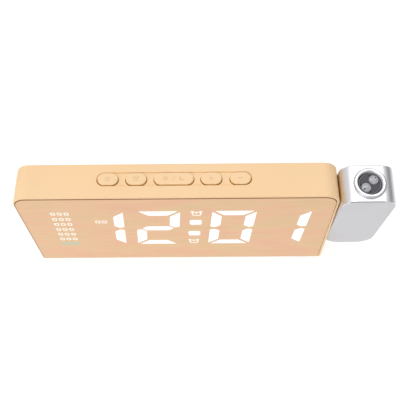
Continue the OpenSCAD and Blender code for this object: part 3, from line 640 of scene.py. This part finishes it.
# ------------------------------------------------------------------ back
def build_back():
    mk = Maker()
    prof = [(1.85, 9.2), (1.85, 10.65)] + [(1.85 + 0.35 * (1 - math.cos(math.radians(t))), 10.65 + 0.35 * math.sin(math.radians(t))) for t in (22, 45, 67, 90)]
    mk.loft([[P(x, y, z) for x, z in case_outline(i)] for i, y in prof])
    o = mk.obj("back_plate", [CASE, GAP_SHADE], 34)
    c = Maker()
    for x, z in ((86.9, 79.4), (-86.9, 79.4), (88.0, 4.4), (-88.0, 4.4)):
        lathe(c, [(1.5, 8.7), (1.5, 10.0), (2.7, 10.0), (2.7, 10.85), (2.95, 11.1), (2.95, 11.5)], lambda u, v, h: P(x + u, h, z + v), 40, caps=(True, True))
    lathe(c, [(10.4, 8.7), (10.4, 10.2)], lambda u, v, h: P(CELL_X + u, h, CELL_Z + v), 64, caps=(True, True))
    for k in range(8):
        x = 26 + 4 * k
        prof = [(0.0, 8.7), (0.0, 10.8), (-0.25, 11.05), (-0.25, 11.5)]
        c.loft([[P(x + b, y, 64 + a) for a, b in pill(14 - 2 * i, 1.6 - 2 * i, 10)] for i, y in prof])
    for a in (-2.8, 0, 2.8):
        for b in (-2.8, 0, 2.8):
            lathe(c, [(0.7, 8.7), (0.7, 10.85), (0.9, 11.05), (0.9, 11.5)], lambda u, v, h: P(10 + a + u, h, 22.5 + b + v), 20, caps=(True, True))
    prof = [(-0.3, 8.7), (-0.3, 10.7), (-0.6, 11.05), (-0.6, 11.5)]
    c.loft([[P(60 + a, y, 12.03 + b) for a, b in pill(8.94 - 2 * i, 3.26 - 2 * i, 16)] for i, y in prof])
    cut(o, c.obj("cut_back", [CASE]))
    c = Maker()
    w = DOOR_W / 2 + 0.2
    prof = [(0.0, 9.9), (0.0, 10.85), (-0.2, 11.05), (-0.2, 11.5)]
    c.loft([[P(CELL_X + x, y, CELL_Z - w - i + z) for x, z in arch(2 * w - 2 * i + 4 * i * 0, 2 * w - 2 * i, 0.6, 0.6, 4)] for i, y in [(0, 9.9), (0, 10.85)]]
           + [[P(CELL_X + x, y, CELL_Z - w - 0.2 + z) for x, z in arch(2 * w + 0.4, 2 * w + 0.4, 0.8, 0.8, 4)] for y in (11.05, 11.5)])
    cut(o, c.obj("cut_bay", [CASE]))
    finish_piece(o, "clock", ["back_cover"])
    # pillars that clamp the display board
    mk = Maker()
    for x, z in ((-76, 15.9), (78, 15.9), (-76, 74.1), (78, 74.1)):
        lathe(mk, [(1.05, -2.15), (2.4, -2.15), (2.4, 9.3), (1.05, 9.3)], lambda u, v, h: P(x + u, h, z + v), 32, around=True)
    finish_piece(mk.obj("back_pillars", [CASE], 40), "clock", ["back_cover"])

    # battery door
    mk = Maker()
    w = DOOR_W / 2
    prof = [(0.0, 9.92), (0.0, 10.7)] + [(0.28 * (1 - math.cos(math.radians(t))), 10.7 + 0.28 * math.sin(math.radians(t))) for t in (22, 45, 67, 90)]
    mk.loft([[P(CELL_X + x, y, CELL_Z - w + i + z) for x, z in arch(2 * (w - i), 2 * (w - i), 0.6, 0.6, 4)] for i, y in prof])
    o = mk.obj("battery_lid", [CASE, GAP_SHADE], 34)
    c = Maker()
    prof = [(0.9, 10.35), (0.35, 10.5), (0.05, 10.8), (-0.1, 11.05), (-0.1, 11.4)]
    c.loft([[P(CELL_X + a, y, CELL_Z + w - 4 + b) for a, b in pill(9 - 2 * i, 3.2 - 2 * i, 16)] for i, y in prof])
    # arrow-like grip ribs below the finger hollow
    for k in range(3):
        c.loft([[P(CELL_X + a, y, CELL_Z + w - 8.2 - 1.5 * k + b) for a, b in pill(7 - 1.8 * k, 0.6, 8)] for y in (10.72, 11.4)])
    cut(o, c.obj("cut_grip", [CASE]))
    finish_piece(o, "battery_cover", ["battery_door"])
    mk = Maker()
    lathe(mk, [(10.1, 9.4), (10.1, 9.95)], lambda u, v, h: P(CELL_X + u, h, CELL_Z + v), 64, caps=(True, True))
    finish_piece(mk.obj("battery_lid_plug", [CASE], 34), "battery_cover", ["battery_door"])


# ------------------------------------------------------------------ projector head
def build_head():
    mk = Maker()
    path = [(0.12, -9.5), (0.0, -9.38), (0.0, -4), (0.0, 4), (0.0, 9.38), (0.12, 9.5), (1.5, 9.5), (1.5, -9.5)]
    mk.loft([[H(x, y, z) for x, z in head_outline(i)] for i, y in path], around=True)
    o = mk.obj("head_sleeve_skin", [SILVER, BLACK], 34)
    c = Maker()
    lathe(c, [(4.02, 92.0), (4.02, 95.0)], lambda u, v, h: H(h, u, v), 48, caps=(True, True))
    lathe(c, [(8.4, 34.0), (8.4, 37.5)], lambda u, v, h: H(LENS_X + u, v, h), 72, caps=(True, True))
    cut(o, c.obj("cut_head", [SILVER]))
    finish_piece(o, "projector_head", ["head_sleeve"])
    # posts that take the covers' screws
    mk = Maker()
    for x, z in HEAD_POSTS:
        lathe(mk, [(1.0, -9.45), (2.4, -9.45), (2.4, 9.45), (1.0, 9.45)], lambda u, v, h: H(x + u, h, z + v), 32, around=True)
    finish_piece(mk.obj("head_posts", [WHITE], 40), "projector_head", ["head_sleeve"])

    for side, nm in ((-1, "front"), (1, "rear")):
        mk = Maker()
        prof = [(0.1, 9.5), (0.1, 10.62), (0.115, 10.69), (0.16, 10.75), (0.34, 10.93), (0.40, 10.98), (0.48, 11.0)]
        n = len(head_outline(0))
        mk.loft([[H(x, side * y, z) for x, z in head_outline(i)] for i, y in prof])
        for j in range(len(mk.f) - 2):
            # the edge is bright silver along the top and round its corners; along the straight top and a little way
            # into the left corner it is painted dark grey, a painted shade line
            mk.m[j] = 1 if 21 <= j % n <= 61 else 0
            if 41 <= j % n <= 48 and j // n > 0:
                mk.m[j] = 2
        o = mk.obj("head_%s_plate" % nm, [COVER, SILVER, SEAM_SHADE], 40)
        if side > 0:
            c = Maker()
            for x, z in HEAD_POSTS:
                lathe(c, [(1.15, 9.0), (1.15, 10.2), (2.1, 10.2), (2.1, 10.9), (2.3, 11.1), (2.3, 11.6)], lambda u, v, h: H(x + u, h, z + v), 36, caps=(True, True))
            cut(o, c.obj("cut_cover", [COVER]))
        finish_piece(o, "projector_head", ["head_%s_cover" % nm])

    # focus ring: bright outside on top; its flank and outer edge a darker silver, a painted shade; the round of its
    # inner edge a light diffuse grey, a painted reflection; dark grey in the bore, a painted shade
    mk = Maker()
    prof = [(6.85, -4.1), (8.7, -4.1), (8.7, -2.4), (8.1, -2.4), (8.1, 0.12), (9.12, 0.12), (9.2, 0.2), (9.2, 0.32)]
    prof += [(8.80, 1.02), (8.72, 1.15), (8.58, 1.27), (8.40, 1.38), (8.2, 1.45), (8.0, 1.49), (7.8, 1.5), (7.6, 1.49)]
    prof += [(7.40, 1.45), (7.21, 1.37), (7.06, 1.25), (6.95, 1.08), (6.88, 0.85), (6.87, -1.6), (6.87, -2.0), (6.85, -2.1)]
    mats = [1] * len(prof)
    for k in range(3, 11):
        mats[k] = 2
    for k in range(11, 19):
        mats[k] = 0
    for k in range(19, 21):
        mats[k] = 3
    top = HEAD_H / 2
    lathe(mk, prof, lambda u, v, h: H(LENS_X + u, v, top + h), 112, mats, around=True)
    finish_piece(mk.obj("focus_ring_band", [RING, DARK_GREY_AND_SHADE, RING_FLANK_SHADE, BORE_LIGHT], 34), "focus_collar", ["focus_ring"])

    # dark lens carrier with a groove round its face and two pockets
    mk = Maker()
    prof = [(6.5, -14.5), (6.5, -0.62), (6.4, -0.52), (6.16, -0.5), (6.12, -0.46), (6.1, 0.16), (6.02, 0.27), (5.9, 0.3),
            (5.78, 0.27), (5.68, 0.14), (5.55, 0.1)]
    # the raised lip is painted a lighter grey, a painted highlight
    mats = [0, 1, 1, 1, 1, 2, 2, 2, 0, 0]
    top -= 0.5
    lathe(mk, prof, lambda u, v, h: H(LENS_X + u, v, top + h), 112, mats, caps=(True, True))
    o = mk.obj("lens_carrier", [DARK, DARK_GREY_AND_SHADE, LIP_HIGHLIGHT], 34)
    c = Maker()
    for s in (-1, 1):
        lathe(c, [(2.1, -15.2), (2.1, -1.5), (2.78, -1.5), (2.78, 0.02), (2.9, 0.2), (2.9, 1.0)],
              lambda u, v, h: H(LENS_X + s * LENS_DX + u, s * LENS_DY + v, top + h), 48, caps=(True, True))
    cut(o, c.obj("cut_pockets", [DARK_GREY_AND_SHADE]))
    # four small pin holes in the face
    c = Maker()
    for x, y in ((5.07, 0.53), (-5.07, -0.53), (0.1, 4.95), (-0.1, -4.95)):
        lathe(c, [(0.34, -0.6), (0.34, 0.8)], lambda u, v, h: H(LENS_X + x + u, y + v, top + h), 20, caps=(True, True))
    cut(o, c.obj("cut_pins", [BLACK]))
    finish_piece(o, "lens_unit", ["lens_barrel"])
    mk = Maker()
    for s in (-1, 1):
        prof = [(2.74, -1.5), (2.74, 0.12)]
        prof += [(2.74 * math.cos(math.radians(t)), 0.12 + 0.98 * math.sin(math.radians(t))) for t in range(10, 90, 10)]
        prof += [(0.15, 1.1)]
        lathe(mk, prof, lambda u, v, h: H(LENS_X + s * LENS_DX + u, s * LENS_DY + v, top + h), 48, caps=(True, True))
    o = mk.obj("lens_domes", [LENS, DARK_GREY_AND_SHADE], 60)
    # small dark gate mark at the outer side of each dome
    c = Maker()
    k = math.hypot(LENS_DX, LENS_DY)
    for s in (-1, 1):
        x, y = s * LENS_DX * (1 + 1.5 / k), s * LENS_DY * (1 + 1.5 / k)
        lathe(c, [(0.42, 0.30), (0.42, 1.6)], lambda u, v, h: H(LENS_X + x + u, y + v, top + h), 20, caps=(True, True))
    cut(o, c.obj("cut_marks", [BLACK]))
    finish_piece(o, "lens_unit", ["projection_lenses"])


build_case()
build_bosses()
build_keys()
build_feet()
build_back()
build_head()

# ------------------------------------------------------------------ camera
cam = bpy.data.cameras.new("camera")
cam.sensor_width = 36.0
cam.lens = 59.32
cam.clip_start = 0.01
co = bpy.data.objects.new("camera", cam)
scene.collection.objects.link(co)
yaw, pitch, roll = map(math.radians, (-1.69, 62.069, -1.955))
fw = Vector((math.sin(yaw) * math.cos(pitch), math.cos(yaw) * math.cos(pitch), -math.sin(pitch)))
right = Vector((math.cos(yaw), -math.sin(yaw), 0))
up = right.cross(fw)
r2 = math.cos(roll) * right + math.sin(roll) * up
u2 = -math.sin(roll) * right + math.cos(roll) * up
m = Matrix.Identity(4)
for k, v in enumerate((r2, u2, -fw)):
    for j in range(3):
        m[j][k] = v[j]
m.translation = Vector(P(18.819, -183.411, 407.148))
co.matrix_world = m
scene.camera = co

# ------------------------------------------------------------------ floor and light
bm = bmesh.new()
bmesh.ops.create_grid(bm, x_segments=8, y_segments=8, size=2.5)
me = bpy.data.meshes.new("studio_floor")
bm.to_mesh(me)
bm.free()
floor = bpy.data.objects.new("studio_floor", me)
scene.collection.objects.link(floor)
n = Nodes("floor_glowing_pool")
n.link(n.ramp(n.noise(n.coords(), 0.01, 2), [(0.3, grey(0.37)), (0.7, grey(0.39))]), n.b.inputs["Base Color"])
ln = n.new("ShaderNodeVectorMath", operation="LENGTH")
n.link(n.tc.outputs["Object"], ln.inputs[0])
# painted light: the floor glows by itself, brightest round the clock and dimmer further out, a painted pool of light
# that also fills the clock's shadow
n.link(n.ramp(ln.outputs["Value"], [(0.22, grey(0.74)), (0.50, grey(0.34))]), n.b.inputs["Emission Color"])
n.set(Emission_Strength=1.0)
n.set(Roughness=0.9, Specular_IOR_Level=0.1)
me.materials.append(n.mat)

world = bpy.data.worlds.new("studio")
scene.world = world
world.use_nodes = True
wt = world.node_tree
bg = wt.nodes["Background"]
tc = wt.nodes.new("ShaderNodeTexCoord")
sep = wt.nodes.new("ShaderNodeSeparateXYZ")
wt.links.new(tc.outputs["Generated"], sep.inputs[0])


def wmath(op, a, b=0.0, c=0.0):
    m = wt.nodes.new("ShaderNodeMath")
    m.operation = op
    for src, k in ((a, 0), (b, 1), (c, 2)):
        if hasattr(src, "is_linked"):
            wt.links.new(src, m.inputs[k])
        else:
            m.inputs[k].default_value = src
    return m.outputs[0]


# near the horizon it is light, but for darker patches straight in front and to the right; the sky above it is white
turn = wmath("MULTIPLY_ADD", wmath("ARCTAN2", sep.outputs["Y"], sep.outputs["X"]), 0.5 / math.pi, 0.5)
rp = wt.nodes.new("ShaderNodeValToRGB")
e = rp.color_ramp.elements
SKY = [(0.0, 0.86), (0.12, 0.84), (0.18, 0.48), (0.25, 0.16), (0.32, 0.48), (0.38, 0.80), (0.44, 0.45), (0.5, 0.25),
       (0.58, 0.32), (0.68, 0.84), (1.0, 0.86)]
e[0].position, e[0].color = SKY[0][0], grey(SKY[0][1])
e[1].position, e[1].color = SKY[-1][0], grey(SKY[-1][1])
for q, v in SKY[1:-1]:
    e.new(q).color = grey(v)
wt.links.new(turn, rp.inputs["Fac"])
up_ = wt.nodes.new("ShaderNodeValToRGB")
e = up_.color_ramp.elements
e[0].position, e[0].color = 0.42, (0, 0, 0, 1)
e[1].position, e[1].color = 0.82, (1, 1, 1, 1)
wt.links.new(sep.outputs["Z"], up_.inputs["Fac"])
mx = wt.nodes.new("ShaderNodeMix")
mx.data_type = "RGBA"
wt.links.new(up_.outputs["Color"], mx.inputs[0])
wt.links.new(rp.outputs["Color"], mx.inputs[6])
mx.inputs[7].default_value = (1.0, 1.0, 1.0, 1)
wt.links.new(mx.outputs[2], bg.inputs["Color"])
bg.inputs["Strength"].default_value = 0.88


def area(name, loc, target, size, power, col=(1, 1, 1)):
    d = bpy.data.lights.new(name, "AREA")
    d.shape, d.size, d.size_y = "RECTANGLE", size[0], size[1]
    d.energy, d.color = power, col
    o = bpy.data.objects.new(name, d)
    scene.collection.objects.link(o)
    o.location = loc
    o.rotation_euler = (Vector(target) - Vector(loc)).to_track_quat("-Z", "Y").to_euler()
    return o


area("top", (-0.06, 0.28, 1.10), (0.0, 0, 0.08), (1.25, 0.5), 2.65)
area("key", (-0.45, -0.85, 0.50), (0, 0, 0.04), (0.7, 0.7), 3.0)

scene.view_settings.view_transform = "Standard"
